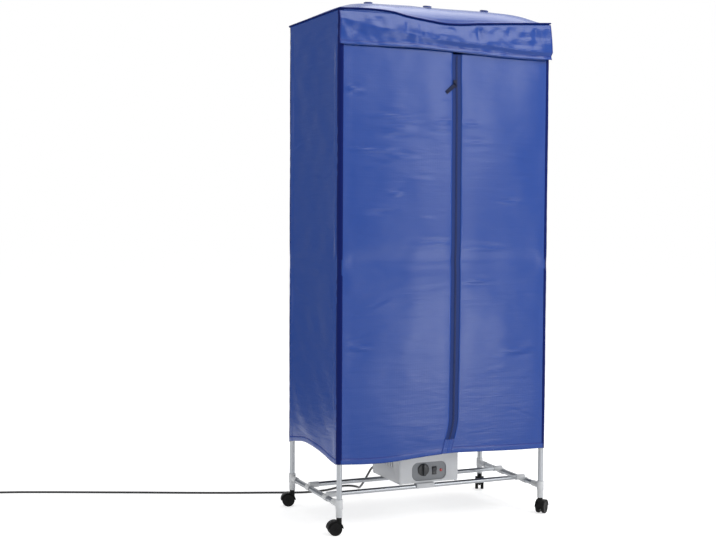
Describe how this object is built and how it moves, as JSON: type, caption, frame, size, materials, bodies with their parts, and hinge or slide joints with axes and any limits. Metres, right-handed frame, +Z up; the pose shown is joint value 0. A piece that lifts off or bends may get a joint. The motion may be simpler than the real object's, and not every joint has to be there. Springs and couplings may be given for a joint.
{
  "type": "portable clothes-drying cabinet",
  "caption": "Portable clothes-drying cabinet: a tube frame on casters with hanging rods, a zipped cloth cover with a front flap, and a fan heater in the base.",
  "frame": {"origin": "floor point under the centre of the frame and cover, where the wheels rest", "axes": "+X to the right seen from the front, +Y to the back, +Z up"},
  "size_m": [1.724, 0.9573, 1.5665],
  "materials": {
    "tube_steel": "bright plated steel tube",
    "joint_plastic": "satin pale grey plastic",
    "hood_plastic": "black nylon",
    "wheel_plastic": "black nylon, smooth tread",
    "cover_cloth": "thin woven polyester, slight sheen",
    "binding_cloth": "woven tape and piping",
    "vent_plastic": "dark moulded caps",
    "zip_metal": "dark plated zip hardware",
    "heater_shell": "pale grey moulded shell",
    "panel_plastic": "grey moulded plastic",
    "knob_plastic": "dark moulded plastic",
    "lens_plastic": "red clear lens",
    "motor_steel": "plain steel motor can",
    "element_ceramic": null,
    "plug_rubber": "moulded black",
    "cord_rubber": "black sheathed cord"
  },
  "bodies": {
    "frame": {"leg_lower_fl": "tube_steel", "leg_lower_fr": "tube_steel", "leg_lower_bl": "tube_steel", "leg_lower_br": "tube_steel", "upper_legs": "tube_steel", "leg_joints": "joint_plastic", "base_connectors": "joint_plastic", "top_connectors": "joint_plastic", "base_rail_left": "tube_steel", "base_rail_right": "tube_steel", "cross_rail_front": "tube_steel", "cross_rail_back": "tube_steel", "rail_tees": "joint_plastic", "mid_rails": "tube_steel", "top_rails": "tube_steel", "upper_rods": "tube_steel", "lower_rods": "tube_steel", "cover_top": "cover_cloth", "cover_left": "cover_cloth", "cover_right": "cover_cloth", "cover_back": "cover_cloth", "cover_header": "cover_cloth", "corner_bindings": "binding_cloth", "top_piping": "binding_cloth", "vent_caps": "vent_plastic", "heater_base": "heater_shell", "heater_cover": "heater_shell", "control_panel": "panel_plastic", "indicator_lens": "lens_plastic", "timer_unit": "panel_plastic", "fan_motor": "motor_steel", "heating_element": "element_ceramic", "outlet_grille": "knob_plastic", "rail_clips": "joint_plastic", "heater_screws": "tube_steel", "cord_relief": "plug_rubber", "power_cord": "cord_rubber", "plug": "plug_rubber"},
    "caster_fl": {"caster_fl_hood": "hood_plastic"},
    "wheel_fl_a": {"caster_fl_wheel_a": "wheel_plastic"},
    "wheel_fl_b": {"caster_fl_wheel_b": "wheel_plastic"},
    "caster_fr": {"caster_fr_hood": "hood_plastic"},
    "wheel_fr_a": {"caster_fr_wheel_a": "wheel_plastic"},
    "wheel_fr_b": {"caster_fr_wheel_b": "wheel_plastic"},
    "caster_bl": {"caster_bl_hood": "hood_plastic"},
    "wheel_bl_a": {"caster_bl_wheel_a": "wheel_plastic"},
    "wheel_bl_b": {"caster_bl_wheel_b": "wheel_plastic"},
    "caster_br": {"caster_br_hood": "hood_plastic"},
    "wheel_br_a": {"caster_br_wheel_a": "wheel_plastic"},
    "wheel_br_b": {"caster_br_wheel_b": "wheel_plastic"},
    "door_left": {"door_left": "cover_cloth", "zip_tape_left": "binding_cloth"},
    "door_right": {"door_right": "cover_cloth", "zip_tape_right": "binding_cloth"},
    "flap": {"front_flap": "cover_cloth"},
    "zip_slider": {"zip_slider": "zip_metal"},
    "zip_pull": {"zip_pull": "zip_metal"},
    "timer_knob": {"timer_knob": "knob_plastic"},
    "power_rocker": {"power_rocker": "knob_plastic"},
    "fan_rotor": {"fan_rotor": "knob_plastic"}
  },
  "joints": [
    {"name": "caster_fl_swivel", "type": "hinge", "parent": "frame", "child": "caster_fl", "pos_m": [-0.341, -0.196, 0.06], "axis": [0, 0, 1], "continuous": true},
    {"name": "wheel_fl_a_spin", "type": "hinge", "parent": "caster_fl", "child": "wheel_fl_a", "pos_m": [-0.35387, -0.19419, 0.02], "axis": [-0.1392, -0.9903, 0], "continuous": true},
    {"name": "wheel_fl_b_spin", "type": "hinge", "parent": "caster_fl", "child": "wheel_fl_b", "pos_m": [-0.35387, -0.19419, 0.02], "axis": [-0.1392, -0.9903, 0], "continuous": true},
    {"name": "caster_fr_swivel", "type": "hinge", "parent": "frame", "child": "caster_fr", "pos_m": [0.341, -0.196, 0.06], "axis": [0, 0, 1], "continuous": true},
    {"name": "wheel_fr_a_spin", "type": "hinge", "parent": "caster_fr", "child": "wheel_fr_a", "pos_m": [0.35124, -0.188, 0.02], "axis": [-0.6157, 0.788, 0], "continuous": true},
    {"name": "wheel_fr_b_spin", "type": "hinge", "parent": "caster_fr", "child": "wheel_fr_b", "pos_m": [0.35124, -0.188, 0.02], "axis": [-0.6157, 0.788, 0], "continuous": true},
    {"name": "caster_bl_swivel", "type": "hinge", "parent": "frame", "child": "caster_bl", "pos_m": [-0.341, 0.196, 0.06], "axis": [0, 0, 1], "continuous": true},
    {"name": "wheel_bl_a_spin", "type": "hinge", "parent": "caster_bl", "child": "wheel_bl_a", "pos_m": [-0.35356, 0.19936, 0.02], "axis": [-0.2588, -0.9659, 0], "continuous": true},
    {"name": "wheel_bl_b_spin", "type": "hinge", "parent": "caster_bl", "child": "wheel_bl_b", "pos_m": [-0.35356, 0.19936, 0.02], "axis": [-0.2588, -0.9659, 0], "continuous": true},
    {"name": "caster_br_swivel", "type": "hinge", "parent": "frame", "child": "caster_br", "pos_m": [0.341, 0.196, 0.06], "axis": [0, 0, 1], "continuous": true},
    {"name": "wheel_br_a_spin", "type": "hinge", "parent": "caster_br", "child": "wheel_br_a", "pos_m": [0.3347, 0.18463, 0.02], "axis": [0.8746, -0.4848, 0], "continuous": true},
    {"name": "wheel_br_b_spin", "type": "hinge", "parent": "caster_br", "child": "wheel_br_b", "pos_m": [0.3347, 0.18463, 0.02], "axis": [0.8746, -0.4848, 0], "continuous": true},
    {"name": "door_left_swing", "type": "hinge", "parent": "frame", "child": "door_left", "pos_m": [-0.34115, -0.2058, 0.8], "axis": [0, 0, -1], "range_deg": [0, 110]},
    {"name": "door_right_swing", "type": "hinge", "parent": "frame", "child": "door_right", "pos_m": [0.34115, -0.2058, 0.8], "axis": [0, 0, 1], "range_deg": [0, 110]},
    {"name": "flap_lift", "type": "hinge", "parent": "frame", "child": "flap", "pos_m": [0, -0.2068, 1.5185], "axis": [-1, 0, 0], "range_deg": [0, 95]},
    {"name": "zip_slide", "type": "slide", "parent": "door_left", "child": "zip_slider", "axis": [0, 0, -1], "range_m": [-0.07, 1]},
    {"name": "zip_pull_swing", "type": "hinge", "parent": "zip_slider", "child": "zip_pull", "pos_m": [0.0222, -0.21, 1.32278], "axis": [-0.6428, 0, 0.766], "range_deg": [0, 150]},
    {"name": "timer_turn", "type": "hinge", "parent": "frame", "child": "timer_knob", "pos_m": [-0.019, -0.09, 0.148], "axis": [0, -1, 0], "range_deg": [0, 330]},
    {"name": "rocker_tilt", "type": "hinge", "parent": "frame", "child": "power_rocker", "pos_m": [0.019, -0.0922, 0.143], "axis": [-1, 0, 0], "range_deg": [0, 18]},
    {"name": "fan_spin", "type": "hinge", "parent": "frame", "child": "fan_rotor", "pos_m": [0, 0.0025, 0.16], "axis": [0, 0, 1], "continuous": true}
  ]
}
